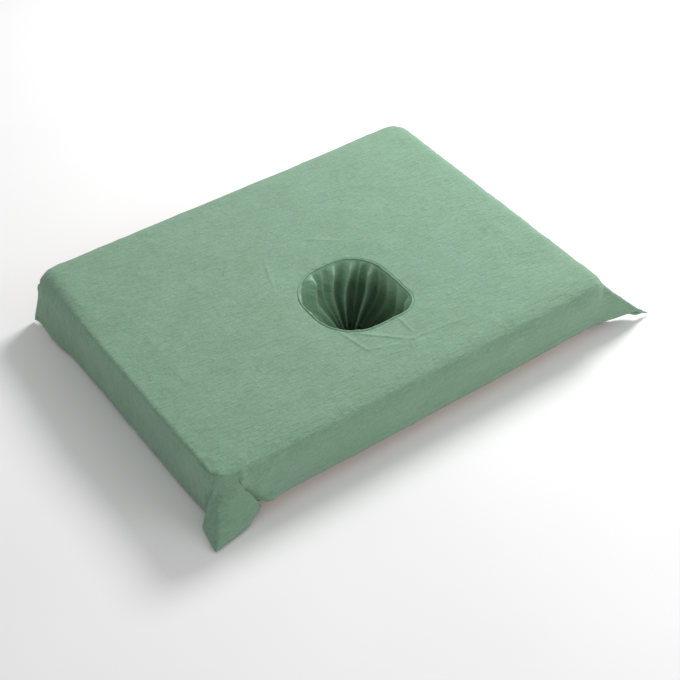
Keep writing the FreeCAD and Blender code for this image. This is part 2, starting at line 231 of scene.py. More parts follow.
def outline(half_w, half_l, radii, per_side, per_arc, centre=(0.0, 0.0)):
    """Points and outward normals round a rounded rectangle, anticlockwise from its front left corner."""
    signs = ((-1, -1), (1, -1), (1, 1), (-1, 1))
    points, normals = [], []
    for i, (sx, sy) in enumerate(signs):
        start = math.pi + i * math.pi / 2
        at = np.array([sx * (half_w - radii[i]), sy * (half_l - radii[i])])
        for k in range(per_arc + 1):
            angle = start + k / per_arc * math.pi / 2
            normal = np.array([math.cos(angle), math.sin(angle)])
            points.append(at + radii[i] * normal)
            normals.append(normal)
        nx, ny = signs[(i + 1) % 4]
        r = radii[(i + 1) % 4]
        following = np.array([nx * (half_w - r), ny * (half_l - r)]) + r * normals[-1]
        last = points[-1]
        for k in range(1, per_side):
            points.append(last + (following - last) * k / per_side)
            normals.append(normals[-1])
    return np.array(points) + np.array(centre), np.array(normals)


def ring_faces(rows, count, closed=False):
    """Quads between rings of count points each. closed joins the last ring to the first."""
    i = np.arange(count)
    j = (i + 1) % count
    faces = []
    for row in range(rows if closed else rows - 1):
        a, b = row * count, (row + 1) % rows * count
        faces.append(np.stack([a + i, a + j, b + j, b + i], -1))
    return np.concatenate(faces)


# ---- the upholstered cushion ------------------------------
def crown_at(x, y):
    """How far the padded top stands above its edges."""
    across = np.clip(1 - (x / (HALF_X - EDGE_R)) ** 2, 0, 1)
    along = np.clip(1 - (y / (HALF_Y - EDGE_R)) ** 2, 0, 1)
    return CROWN * np.sqrt(across * along)


def cushion_profile():
    """The cushion's section, as (share of the way to the hole, inset from the outline there, height)."""
    under = SKIN_LOW.z
    rows = [(1, -0.002, under)]
    rows += [(w, UNDERCUT * (1 - w), under) for w in np.linspace(0.97, 0.0, 12)]
    rows += [(0, UNDERCUT - 0.0006, under + 0.0006), (0, UNDERCUT - 0.0008, BOARD_HIGH.z)]
    taper = TAPER_TOP - BOARD_HIGH.z
    rows += [(0, UNDERCUT * (1 - t), BOARD_HIGH.z + taper * t) for t in (0.2, 0.4, 0.6, 0.8, 0.97)]
    side_top = SKIN_TOP - EDGE_R
    rows += [(0, 0, TAPER_TOP + (side_top - TAPER_TOP) * t) for t in (0.03, 0.2, 0.4, 0.6, 0.8)]
    rows += [(0, -out, side_top + up) for out, up in BAND_SEAM]
    for angle in np.linspace(0, math.pi / 2, 12)[2:]:
        rows.append((0, EDGE_R * (1 - math.cos(angle)), side_top + EDGE_R * math.sin(angle)))
    rows += [(w, EDGE_R * (1 - w) - HOLE_EDGE_R * w, SKIN_TOP) for w in np.linspace(0, 1, 34)[1:]]
    for angle in np.linspace(0, math.pi / 2, 6)[1:]:
        drop = HOLE_EDGE_R * (1 - math.cos(angle))
        rows.append((1, -HOLE_EDGE_R * (1 - math.sin(angle)), SKIN_TOP - drop))
    rows += [(1, 0, z) for z in np.linspace(SKIN_TOP - 0.012, under + 0.002, 9)]
    return rows


def build_cushion():
    """A closed padded form with its hole: crowned top, straight sides, and an undercut down to the board."""
    outer, outer_n = outline(HALF_X, HALF_Y, [CORNER_R] * 4, 90, 12)
    seam_puckers = np.array([abs(noise.noise(Vector((x * 75, y * 75, 3.3)))) for x, y in outer])
    half_w, half_l = HOLE_W / 2 + HOLE_GAP, HOLE_L / 2 + HOLE_GAP
    hole, hole_n = outline(half_w, half_l, [CUSHION_HOLE_R] * 4, 90, 12, (HOLE_X, HOLE_Y))
    rings = []
    for share, inset, z in cushion_profile():
        normal = outer_n * (1 - share) + hole_n * share
        xy = outer * (1 - share) + hole * share - normal * inset
        height = np.full(len(xy), z)
        if z > SKIN_TOP - 1e-6:
            height = height + crown_at(xy[:, 0], xy[:, 1]) * smooth_step((1 - share) / 0.25)
        near_seam = np.exp(-(((z - SKIN_TOP + EDGE_R) / PUCKER_REACH) ** 2))
        pucker = near_seam * (share == 0) * PUCKER * seam_puckers
        rings.append(np.column_stack([xy + normal * pucker[:, None], height]))
    faces = ring_faces(len(rings), len(outer), closed=True)
    return add_mesh("upholstered_cushion", np.concatenate(rings), faces)


def cushion_stitches():
    """A line of thread on the top panel, just above the seam of the side band."""
    points, normals = outline(HALF_X, HALF_Y, [CORNER_R] * 4, 220, 24)
    height = SKIN_TOP - EDGE_R + BAND_STITCH_UP
    stitches = []
    for k in range(0, len(points) - 3, 2):
        first, following = points[[k, k + 1]] + normals[[k, k + 1]] * BAND_STITCH_OUT
        start = np.append(first, height)
        end = np.append(first * 0.25 + following * 0.75, height)
        stitches.append((start, (start + end) / 2, end))
    return stitch_mesh("band_seam_stitches", stitches, 0.0003)


cushion = build_cushion()


# ---- the cover sheet --------------------------------------
def hole_radius_table():
    """The hole's outline as distance from its centre for each angle, sorted by angle."""
    points, _ = outline(HOLE_W / 2 - RIM_TURN, HOLE_L / 2 - RIM_TURN, HOLE_RADII, 60, 60)
    angle = np.arctan2(points[:, 1], points[:, 0])
    order = np.argsort(angle)
    return angle[order], np.hypot(points[:, 0], points[:, 1])[order]


HOLE_ANGLES, HOLE_DISTANCES = hole_radius_table()


def rim_points(angle):
    """Points on the hole's outline at these angles about its centre."""
    r = np.interp(angle, HOLE_ANGLES, HOLE_DISTANCES, period=2 * math.pi)
    return np.column_stack([HOLE_X + r * np.cos(angle), HOLE_Y + r * np.sin(angle)])


def flat_sheet():
    """The cut sheet: a grid with rings round the hole. Returns its points and faces."""
    us = np.linspace(-CUT_HALF_U, CUT_HALF_U, round(2 * CUT_HALF_U / CELL) + 1)
    vs = np.linspace(-CUT_FRONT, CUT_BACK, round((CUT_FRONT + CUT_BACK) / CELL) + 1)
    i0, i1 = [int(np.argmin(abs(us - HOLE_X - s * (HOLE_W / 2 + RING_MARGIN)))) for s in (-1, 1)]
    j0, j1 = [int(np.argmin(abs(vs - HOLE_Y - s * (HOLE_L / 2 + RING_MARGIN)))) for s in (-1, 1)]
    index, points = {}, []
    for i, u in enumerate(us):
        for j, v in enumerate(vs):
            if not (i0 < i < i1 and j0 < j < j1):
                index[i, j] = len(points)
                points.append((u, v))
    faces = []
    for i in range(len(us) - 1):
        for j in range(len(vs) - 1):
            if not (i0 <= i < i1 and j0 <= j < j1):
                faces.append((index[i, j], index[i + 1, j], index[i + 1, j + 1], index[i, j + 1]))
    loop = [(i, j0) for i in range(i0, i1)] + [(i1, j) for j in range(j0, j1)]
    loop += [(i, j1) for i in range(i1, i0, -1)] + [(i0, j) for j in range(j1, j0, -1)]
    border = [index[at] for at in loop]
    edge = np.array([points[b] for b in border])
    rim = rim_points(np.arctan2(edge[:, 1] - HOLE_Y, edge[:, 0] - HOLE_X))
    rings = []
    for distance in RINGS:
        rings.append(list(range(len(points), len(points) + len(border))))
        points += (rim + (edge - rim) * distance / RING_MARGIN).tolist()
    rings.append(border)
    for inner, outer in zip(rings, rings[1:]):
        for k in range(len(border)):
            n = (k + 1) % len(border)
            faces.append((inner[k], outer[k], outer[n], inner[n]))
    return np.array(points), faces


def cloth_crown(x, y):
    """Height of the cloth's top above its edges: it follows the padding, and dips towards the hole's rim."""
    angle = np.arctan2(y - HOLE_Y, x - HOLE_X)
    rim = np.interp(angle, HOLE_ANGLES, HOLE_DISTANCES, period=2 * math.pi)
    away = np.hypot(x - HOLE_X, y - HOLE_Y) - rim
    return crown_at(x, y) * (RIM_CROWN + (1 - RIM_CROWN) * smooth_step(away / 0.045))


def nearest(points, u, v):
    return int(np.argmin(np.hypot(points[:, 0] - u, points[:, 1] - v)))


def taut_height(reach, length):
    """Where a taut strip ends: its drop below the roll's centre, and its turn over the roll."""
    low, high = np.zeros_like(reach), np.full_like(reach, CLOTH_Z - ROLL_R - 0.003)
    for _ in range(24):
        below = (low + high) / 2
        away = np.hypot(reach, below)
        over = math.pi / 2 - (np.arccos(np.clip(ROLL_R / away, 0, 1)) - np.arctan2(below, reach))
        used = ROLL_R * over + np.sqrt(np.maximum(away**2 - ROLL_R**2, 0))
        low = np.where(used < length, below, low)
        high = np.where(used < length, high, below)
    return below, over


def drape_corner(u, v, sx, sy, folds, dent):
    """Places the cloth past both edge rolls at one corner: over the corner, then down to the folded hem."""
    at = np.array([sx * ROLL_X, sy * ROLL_Y])
    cut_v = CUT_FRONT if sy < 0 else CUT_BACK
    side_u, side_v = CUT_HALF_U - abs(at[0]), cut_v - abs(at[1])
    path = [((sx * CUT_HALF_U, at[1]), (at[0] + sx * ROLL_R, at[1]))] + list(folds)
    path += [((at[0], sy * cut_v), (at[0], at[1] + sy * ROLL_R))]
    cut_angle = [math.atan2(sy * (cut[1] - at[1]), sx * (cut[0] - at[0])) for cut, _ in path]
    du, dv = sx * (u - at[0]), sy * (v - at[1])
    r = np.hypot(du, dv)
    angle = np.arctan2(dv, du)
    hem_x = np.interp(angle, cut_angle, [sx * (place[0] - at[0]) for _, place in path])
    hem_y = np.interp(angle, cut_angle, [sy * (place[1] - at[1]) for _, place in path])
    reach = np.maximum(np.hypot(hem_x, hem_y), ROLL_R)
    to_side = side_u / np.maximum(np.cos(angle), 1e-9)
    to_end = side_v / np.maximum(np.sin(angle), 1e-9)
    hem = np.minimum(to_side, to_end)
    below, leaves = taut_height(reach, hem)
    over = np.minimum(r / ROLL_R, leaves)
    past = np.clip((r - ROLL_R * leaves) / np.maximum(hem - ROLL_R * leaves, 1e-6), 0, 1)
    out = ROLL_R * np.sin(over) * (1 - past) + reach * past
    z = (CLOTH_Z - ROLL_R * (1 - np.cos(over))) * (1 - past) + (CLOTH_Z - ROLL_R - below) * past
    out = out - dent * 4 * past * (1 - past) * np.exp(-(((angle - DENT_ANGLE) / DENT_WIDTH) ** 2))
    share = np.clip((r - 0.004) / np.maximum(hem - 0.004, 0.01), 0, 1) ** 0.75
    turned = angle * (1 - share) + np.arctan2(hem_y, hem_x) * share
    return np.column_stack([at[0] + sx * out * np.cos(turned), at[1] + sy * out * np.sin(turned), z])


def draped_start(flat):
    """A first guess of how the sheet hangs: flat on top, rolled over each edge, and folded at the corners."""
    u, v = flat[:, 0], flat[:, 1]
    past_x, past_y = np.maximum(abs(u) - ROLL_X, 0), np.maximum(abs(v) - ROLL_Y, 0)
    past = np.maximum(past_x, past_y)
    over = np.minimum(past / ROLL_R, math.pi / 2)
    x = np.where(past_x > 0, np.sign(u) * (ROLL_X + ROLL_R * np.sin(over)), u)
    y = np.where(past_y > 0, np.sign(v) * (ROLL_Y + ROLL_R * np.sin(over)), v)
    hanging = np.maximum(past - ROLL_R * math.pi / 2, 0)
    z = CLOTH_Z + cloth_crown(u, v) - ROLL_R * (1 - np.cos(over)) - hanging
    places = np.column_stack([x, y, z])
    corners = (
        (-1, -1, FRONT_LEFT_FOLDS, 0.008),
        (1, -1, FRONT_RIGHT_FOLDS, 0),
        (-1, 1, BACK_LEFT_FOLDS, 0),
        (1, 1, BACK_RIGHT_FOLDS, 0),
    )
    for sx, sy, folds, dent in corners:
        here = (sx * u > ROLL_X) & (sy * v > ROLL_Y)
        places[here] = drape_corner(u[here], v[here], sx, sy, folds, dent)
    places[:, 2] = np.maximum(places[:, 2], TIP_Z)
    for cut_u, cut_v in FLAP_TIPS:
        places[nearest(flat, cut_u, cut_v), 2] = TIP_Z
    return places


def trimmed(flat):
    """The cut sheet with its front left corner cut a little short, so the flap there hangs taut."""
    near_u = smooth_step((-TRIM_FROM_U - flat[:, 0]) / (CUT_HALF_U - TRIM_FROM_U))
    near_v = smooth_step((-TRIM_FROM_V - flat[:, 1]) / (CUT_FRONT - TRIM_FROM_V))
    return flat + TRIM * (near_u * near_v)[:, None]


def held_corners(flat):
    """The hem points held in place while the cover settles: the tip of each flap and the folds beside it."""
    return [nearest(flat, cut_u, cut_v) for cut_u, cut_v in HELD_HEM_POINTS]


def settle(sheet, flat, collider):
    """Lets the sheet settle on the cushion and the floor."""
    floor = add_mesh("sim_floor", [(-1, -1, 0), (1, -1, 0), (1, 1, 0), (-1, 1, 0)], [(0, 1, 2, 3)])
    for solid in (collider, floor):
        solid.modifiers.new("stop", "COLLISION")
        solid.collision.thickness_outer = 0.0006
        solid.collision.cloth_friction = 8
    sheet.shape_key_add(name="draped")
    cut = sheet.shape_key_add(name="cut")
    rest = np.column_stack([trimmed(flat), np.full(len(flat), CLOTH_Z)]) + MIDDLE
    cut.data.foreach_set("co", rest.ravel())
    pinned = sheet.vertex_groups.new(name="pinned")
    on_top = np.minimum(HALF_X - TOP_MARGIN - abs(flat[:, 0]), HALF_Y - TOP_MARGIN - abs(flat[:, 1]))
    for i in np.nonzero(on_top > 0)[0]:
        pinned.add([int(i)], float(min(on_top[i] / TOP_FADE, 1)), "REPLACE")
    pinned.add(held_corners(flat), 1.0, "REPLACE")
    modifier = sheet.modifiers.new("cloth", "CLOTH")
    cloth = modifier.settings
    cloth.rest_shape_key = cut
    cloth.quality = 8
    cloth.mass = 0.03
    cloth.tension_stiffness = 25
    cloth.compression_stiffness = 25
    cloth.shear_stiffness = 8
    cloth.bending_stiffness = 0.6
    cloth.tension_damping = 8
    cloth.compression_damping = 8
    cloth.air_damping = 3
    cloth.vertex_group_mass = "pinned"
    contact = modifier.collision_settings
    contact.collision_quality = 3
    contact.distance_min = 0.001
    contact.use_self_collision = True
    contact.self_distance_min = 0.0015
    modifier.point_cache.frame_start = 1
    modifier.point_cache.frame_end = SIM_FRAMES
    for f in range(1, SIM_FRAMES + 1):
        bpy.context.scene.frame_set(f)
    apply_modifiers(sheet)
    bpy.context.scene.frame_set(1)
    collider.modifiers.clear()
    bpy.data.objects.remove(floor)


def fold_noise(places, long, short, turn, seed):
    """Smooth noise from -1 to 1 on the cut sheet, drawn out along one direction: long by short, in metres."""
    c, n = math.cos(turn), math.sin(turn)
    values = []
    for u, v in places[:, :2]:
        along, across = (u * c + v * n) / long, (v * c - u * n) / short
        values.append(noise.noise(Vector((along, across, seed))))
    return np.array(values)


def rim_distance(places):
    """Distance outward from the hole's outline, and the angle about its centre."""
    du, dv = places[:, 0] - HOLE_X, places[:, 1] - HOLE_Y
    angle = np.arctan2(dv, du)
    return np.hypot(du, dv) - np.interp(angle, HOLE_ANGLES, HOLE_DISTANCES, period=2 * math.pi), angle


def crinkle_height(cut):
    """How far the cloth stands off its smooth shape: fine crinkles, puckers round the rim, and its seam."""
    broad = fold_noise(cut, 0.110, 0.032, 0.25, 1.5)
    ridges = 1 - np.abs(fold_noise(cut, 0.060, 0.017, 0.15, 5.5)) * 2.4
    fine = fold_noise(cut, 0.022, 0.007, -0.1, 9.5)
    height = 0.0009 * broad + 0.0007 * np.maximum(ridges, 0) ** 2 + 0.00035 * fine
    away, angle = rim_distance(cut)
    pucker = np.zeros(len(cut))
    for degrees in RIM_PUCKERS:
        turn = np.angle(np.exp(1j * (angle - math.radians(degrees))))
        pucker += np.exp(-((turn * 0.08 / 0.0035) ** 2))
    height = height + 0.0006 * pucker * np.exp(-np.maximum(away - 0.003, 0) / 0.012)
    ridge = 0.0010 * np.exp(-(((away - 0.0012) / 0.0010) ** 2))
    groove = 0.0013 * np.exp(-(((away - RIM_STITCH_OUT) / 0.0010) ** 2))
    turned_edge = 0.0012 * np.exp(-((np.maximum(away, 0) / 0.0006) ** 2))
    return height + ridge - groove - turned_edge


def hem_distance(cut):
    """Distance to the nearest hem."""
    to_front_or_back = np.where(cut[:, 1] > 0, CUT_BACK - cut[:, 1], CUT_FRONT + cut[:, 1])
    return np.minimum(CUT_HALF_U - abs(cut[:, 0]), to_front_or_back)


def sharpen_edges(points, normals, cut):
    """Draws the cloth out over the cushion's edges, which it bridges: crisp on the left, softer in front."""
    upward = np.clip(normals[:, 2], 0, 1)
    sideways = np.hypot(normals[:, 0], normals[:, 1])
    to_square = ROLL_R * (1 / np.maximum(np.maximum(upward, sideways), 0.7) - 1)
    left = np.clip(-normals[:, 0] / np.maximum(sideways, 1e-6), 0, 1) ** 2
    front = np.clip(-normals[:, 1] / np.maximum(sideways, 1e-6), 0, 1) ** 2
    near_left = smooth_step((0.07 - abs(abs(cut[:, 0]) - EDGE_U)) / 0.03) * (abs(cut[:, 1]) < 0.30)
    near_front = smooth_step((0.07 - abs(abs(cut[:, 1]) - EDGE_V)) / 0.03)
    fade = smooth_step((0.24 - cut[:, 1]) / 0.24)
    push = to_square * (LEFT_CRISP * left * near_left * fade + FRONT_CRISP * front * near_front)
    return points + normals * push[:, None]


def build_cover_sheet():
    """The sheet, cut flat, laid over the cushion, settled, and given its edges and its crinkles."""
    flat, faces = flat_sheet()
    sheet = add_mesh("cover_cloth_sheet", draped_start(flat), faces)
    set_vector(sheet.data, "cut", np.column_stack([flat, np.zeros(len(flat))]))
    settle(sheet, flat, cushion)
    subdivide = sheet.modifiers.new("smooth", "SUBSURF")
    subdivide.levels = 1
    subdivide.render_levels = 1
    subdivide.boundary_smooth = "PRESERVE_CORNERS"
    apply_modifiers(sheet)
    cut = get_vector(sheet.data, "cut")
    points = sharpen_edges(local_points(sheet.data), normals_of(sheet.data), cut)
    set_points(sheet.data, points)
    points = points + normals_of(sheet.data) * crinkle_height(cut)[:, None]
    points[:, 2] = np.maximum(points[:, 2], 0.0012)
    set_points(sheet.data, points)
    return sheet


class Surface:
    """The sheet's surface as a map from the cut sheet to where it hangs."""

    def __init__(self, mesh):
        self.places = local_points(mesh)
        self.normals = normals_of(mesh)
        self.cut = get_vector(mesh, "cut")
        self.faces = [tuple(p.vertices) for p in mesh.polygons]
        self.tree = BVHTree.FromPolygons([tuple(c) for c in self.cut], self.faces)

    def at(self, u, v, lift):
        spot, _, face, _ = self.tree.find_nearest(Vector((u, v, 0)))
        corners = self.faces[face]
        weights = np.array(poly_3d_calc([Vector(self.cut[i]) for i in corners], spot))
        place = weights @ self.places[list(corners)]
        normal = weights @ self.normals[list(corners)]
        return place + normal / max(np.linalg.norm(normal), 1e-9) * lift


def stitch_mesh(name, stitches, radius):
    """One mesh of short rounded threads, each through three points."""
    sides = 6
    points, faces = [], []
    for a, middle, b in stitches:
        along = (b - a) / np.linalg.norm(b - a)
        across = np.cross(along, (0.31, 0.2, 0.93))
        across /= np.linalg.norm(across)
        up = np.cross(across, along)
        base = len(points)
        near_a, near_b = a * 0.7 + middle * 0.3, b * 0.7 + middle * 0.3
        for place, size in ((a, 0.35), (near_a, 0.9), (middle, 1), (near_b, 0.9), (b, 0.35)):
            for k in range(sides):
                turn = 2 * math.pi * k / sides
                points.append(place + radius * size * (across * math.cos(turn) + up * math.sin(turn)))
        for row in range(4):
            for k in range(sides):
                n = (k + 1) % sides
                start = base + row * sides
                faces.append((start + k, start + n, start + sides + n, start + sides + k))
        faces.append(tuple(base + k for k in reversed(range(sides))))
        faces.append(tuple(base + 4 * sides + k for k in range(sides)))
    return add_mesh(name, points, faces)


def stitch_line(corners, pitch, length):
    """Start, middle and end of each stitch along a closed line of points."""
    corners = np.array(corners)
    closed = np.vstack([corners, corners[:1]])
    run = np.concatenate([[0], np.cumsum(np.hypot(*np.diff(closed, axis=0).T))])
    count = int(run[-1] / pitch)
    stitches = []
    for k in range(count):
        spots = [k * run[-1] / count + part * length for part in (0, 0.5, 1)]
        stitches.append([(np.interp(s, run, closed[:, 0]), np.interp(s, run, closed[:, 1])) for s in spots])
    return stitches


def stitches_on(name, surface, line, pitch, length, radius, lift):
    """Stitches along a closed line on the cut sheet, each lifted off the cloth in its middle."""
    placed = []
    for stitch in stitch_line(line, pitch, length):
        placed.append([surface.at(u, v, lift * rise) for (u, v), rise in zip(stitch, (0.1, 1, 0.1))])
    return stitch_mesh(name, placed, radius)


def corner_knots(surface):
    """A small crossed tack of thread near each corner of the cover."""
    tacks = []
    left, right, front, back = (
        HEM_LEFT + TACK_INSET, HEM_RIGHT - TACK_INSET, HEM_FRONT + TACK_INSET, HEM_BACK - TACK_INSET
    )
    for u, v in ((left, front), (right, front), (left, back), (right, back)):
        for turn in (0.3, 1.1, 1.9, 2.7):
            du, dv = 0.0022 * math.cos(turn), 0.0022 * math.sin(turn)
            ends = ((u - du, v - dv), (u, v), (u + du, v + dv))
            tacks.append([surface.at(*end, 0.0012) for end in ends])
    return stitch_mesh("corner_tack_stitches", tacks, 0.0005)


band_stitches = cushion_stitches()
sheet = build_cover_sheet()
surface = Surface(sheet.data)

# ---- threads on the sheet ---------------------------------
every_angle = np.linspace(-math.pi, math.pi, 361)[:-1]
rim_line = rim_points(every_angle)
rim_out = rim_line - (HOLE_X, HOLE_Y)
rim_line = rim_line + rim_out / np.linalg.norm(rim_out, axis=1)[:, None] * RIM_STITCH_OUT
rim_stitches = stitches_on("rim_stitches", surface, rim_line, 0.0036, 0.0026, 0.00028, 0.0007)
inset_u, inset_front, inset_back = CUT_HALF_U - HEM_W, CUT_FRONT - HEM_W, CUT_BACK - HEM_W
hem_line = ((-inset_u, -inset_front), (inset_u, -inset_front), (inset_u, inset_back), (-inset_u, inset_back))
hem_stitches = stitches_on("hem_stitches", surface, hem_line, 0.0040, 0.0028, 0.00028, 0.0011)
knots = corner_knots(surface)

# The cloth gets its thickness last, with the turned hem thicker than the rest.
hem_share = smooth_step((HEM_W + 0.0012 - hem_distance(surface.cut)) / 0.0024)
thick = sheet.vertex_groups.new(name="thick")
for i, share in enumerate(hem_share):
    thick.add([i], float(CLOTH_T / HEM_T + (1 - CLOTH_T / HEM_T) * share), "REPLACE")
set_vector(sheet.data, "weave", surface.cut)
solid = sheet.modifiers.new("thickness", "SOLIDIFY")
solid.thickness = HEM_T
solid.offset = 0
solid.vertex_group = "thick"
apply_modifiers(sheet)


# ---- the sleeve down the face hole ------------------------
def crest_sum(angle, depth):
    """The folds of the sleeve: how far it stands inward at each angle, from 0 to about 1."""
    total = np.zeros_like(angle)
    for degrees, width, size, drift in SLEEVE_FOLDS:
        turn = np.angle(np.exp(1j * (angle - math.radians(degrees + drift * depth))))
        total += size * np.exp(-(np.abs(turn / math.radians(width)) ** 1.5))
    return total


def sleeve_ring(angle, depth, outward, z):
    """One ring of the sleeve at a share of its depth, this far outward of its wall, at this height."""
    rim = rim_points(angle) - (HOLE_X, HOLE_Y)
    gathered = (1 - SLEEVE_TAPER - SLEEVE_GATHER) * smooth_step((depth - 0.45) / 0.55)
    scale = 1 - SLEEVE_TAPER * depth - gathered
    reach = np.hypot(rim[:, 0], rim[:, 1]) * scale
    folds = crest_sum(angle, depth)
    size = FOLD_DEPTH * (0.10 + 0.90 * smooth_step(depth / 0.14)) * (1 - 0.45 * depth)
    gathers = 0.0016 * smooth_step((depth - 0.5) / 0.5) * np.cos(46 * angle + 3 * np.sin(2 * angle))
    reach = reach - size * (folds - FOLD_MEAN) - gathers + outward
    ripple = np.sin(angle * 23 + 9 * depth) * np.sin(13 * depth + 2 * angle)
    reach = reach + 0.0007 * smooth_step(depth / 0.05) * ripple
    rest = crown_at(rim[:, 0] + HOLE_X, rim[:, 1] + HOLE_Y) * RIM_CROWN
    sway = z + rest * (1 - depth) + 0.0006 * smooth_step(depth / 0.1) * np.sin(7 * angle + 1.3)
    return np.column_stack([HOLE_X + reach * np.cos(angle), HOLE_Y + reach * np.sin(angle), sway])


def build_sleeve():
    """Seam allowance under the sheet, folded wall, and the casing turned up round the elastic."""
    angle = np.linspace(-math.pi, math.pi, 721)[:-1]
    top, bottom = CLOTH_Z - 0.0012, SLEEVE_LOW.z + 0.0005
    rows = [(0, outward, top) for outward in (0.0075, 0.0050, 0.0025, 0.0011)]
    rows += [(0, 0.0004, top - 0.0002)]
    for depth in np.linspace(0, 1, 84) ** 1.15:
        rows.append((depth, 0.0002 * (1 - depth), top - 0.0006 + (bottom - top + 0.0006) * depth))
    rows += [(1, 0.0012, bottom - 0.0004), (1, 0.0032, bottom), (1, 0.0040, bottom + 0.003)]
    rows += [(1, 0.0036, bottom + 0.008), (1, 0.0020, bottom + 0.0115)]
    rings, weave, run = [], [], 0.0
    for i, (depth, outward, z) in enumerate(rows):
        if i:
            run += math.hypot(outward - rows[i - 1][1], z - rows[i - 1][2])
        rings.append(sleeve_ring(angle, depth, outward, z))
        down = np.full(len(angle), -run)
        weave.append(np.column_stack([angle * WEAVE_R, down, np.full(len(angle), WEAVE_SHIFT)]))
    sleeve = add_mesh("sleeve_cloth", np.concatenate(rings), ring_faces(len(rings), len(angle)))
    set_vector(sleeve.data, "weave", np.concatenate(weave))
    # Painted shade and painted light in the depth attribute: hollows between the folds count as deeper, so
    # they are painted darker, and the folds' crests and the left side count as shallower, so they are painted
    # lighter.
    painted_light_left = 1 - 0.55 * np.exp(-(((np.degrees(angle) % 360 - PAINTED_LIGHT_ANGLE) / PAINTED_LIGHT_WIDTH) ** 4))
    painted_shade_depth = []
    for depth, _, _ in rows:
        fold_valley_shade = 0.34 * smooth_step(depth / 0.1) * (FOLD_MEAN - crest_sum(angle, depth))
        painted_shade_depth.append(painted_light_left * (depth + fold_valley_shade))
    set_number(sleeve.data, "depth", np.concatenate(painted_shade_depth))
    thickness = sleeve.modifiers.new("thickness", "SOLIDIFY")
    thickness.thickness = CLOTH_T
    thickness.offset = 0
    apply_modifiers(sleeve)
    return sleeve


def casing_stitches():
    """The line of thread that closes the elastic's casing at the foot of the sleeve."""
    count = 70
    stitches = []
    for k in range(count):
        start = 2 * math.pi * k / count
        angles = np.array([start, start + 0.028, start + 0.056])
        stitches.append(list(sleeve_ring(angles, 0.86, -0.0009, SLEEVE_LOW.z + 0.0125)))
    return stitch_mesh("casing_stitches", stitches, 0.00028)


sleeve = build_sleeve()
casing_thread = casing_stitches()


# ---- materials --------------------------------------------
def new_material(name, roughness, metallic=0.0):
    made = bpy.data.materials.new(name)
    made.use_nodes = True
    surface_node = made.node_tree.nodes["Principled BSDF"]
    surface_node.inputs["Roughness"].default_value = roughness
    surface_node.inputs["Metallic"].default_value = metallic
    return made, made.node_tree, surface_node


def add_node(tree, kind, **settings):
    made = tree.nodes.new(kind)
    for key, value in settings.items():
        setattr(made, key, value)
    return made


def coordinates(tree, attribute=None):
    """The point on the piece: the named attribute, or the piece's own space."""
    if attribute:
        return add_node(tree, "ShaderNodeAttribute", attribute_name=attribute).outputs["Vector"]
    return add_node(tree, "ShaderNodeTexCoord").outputs["Object"]


def noise_at(tree, point, size, detail=2.0, roughness=0.5, distortion=0.0):
    """Noise from 0 to 1 whose features measure size = (x, y, z) metres."""
    mapping = add_node(tree, "ShaderNodeMapping")
    mapping.inputs["Scale"].default_value = [1 / s for s in size]
    texture = add_node(tree, "ShaderNodeTexNoise")
    texture.inputs["Scale"].default_value = 1.0
    texture.inputs["Detail"].default_value = detail
    texture.inputs["Roughness"].default_value = roughness
    texture.inputs["Distortion"].default_value = distortion
    tree.links.new(point, mapping.inputs["Vector"])
    tree.links.new(mapping.outputs["Vector"], texture.inputs["Vector"])
    return texture.outputs["Fac"]


def calculate(tree, operation, a, b):
    made = add_node(tree, "ShaderNodeMath", operation=operation)
    for socket, value in zip(made.inputs, (a, b)):
        if isinstance(value, (int, float)):
            socket.default_value = value
        else:
            tree.links.new(value, socket)
    return made.outputs["Value"]


def ramp(tree, factor, stops):
    made = add_node(tree, "ShaderNodeValToRGB")
    tree.links.new(factor, made.inputs["Fac"])
    elements = made.color_ramp.elements
    while len(elements) < len(stops):
        elements.new(0.5)
    for element, (position, colour) in zip(elements, stops):
        element.position = position
        element.color = (*colour, 1)
    return made.outputs["Color"]


def mix_colour(tree, blend, factor, a, b):
    made = add_node(tree, "ShaderNodeMix", data_type="RGBA", blend_type=blend)
    made.inputs["Factor"].default_value = factor
    tree.links.new(a, made.inputs["A"])
    tree.links.new(b, made.inputs["B"])
    return made.outputs["Result"]


def add_bump(tree, surface_node, height, strength=1.0):
    """height is in metres."""
    bump = add_node(tree, "ShaderNodeBump")
    bump.inputs["Strength"].default_value = strength
    bump.inputs["Distance"].default_value = 1.0
    tree.links.new(height, bump.inputs["Height"])
    tree.links.new(bump.outputs["Normal"], surface_node.inputs["Normal"])


def thread_waves(tree, point, pitch, direction):
    scale = 2 * math.pi / (20 * pitch)
    waves = add_node(tree, "ShaderNodeTexWave", wave_type="BANDS", bands_direction=direction)
    waves.inputs["Scale"].default_value = scale
    waves.inputs["Distortion"].default_value = 0.6
    waves.inputs["Detail"].default_value = 1.0
    tree.links.new(point, waves.inputs["Vector"])
    return waves.outputs["Fac"]


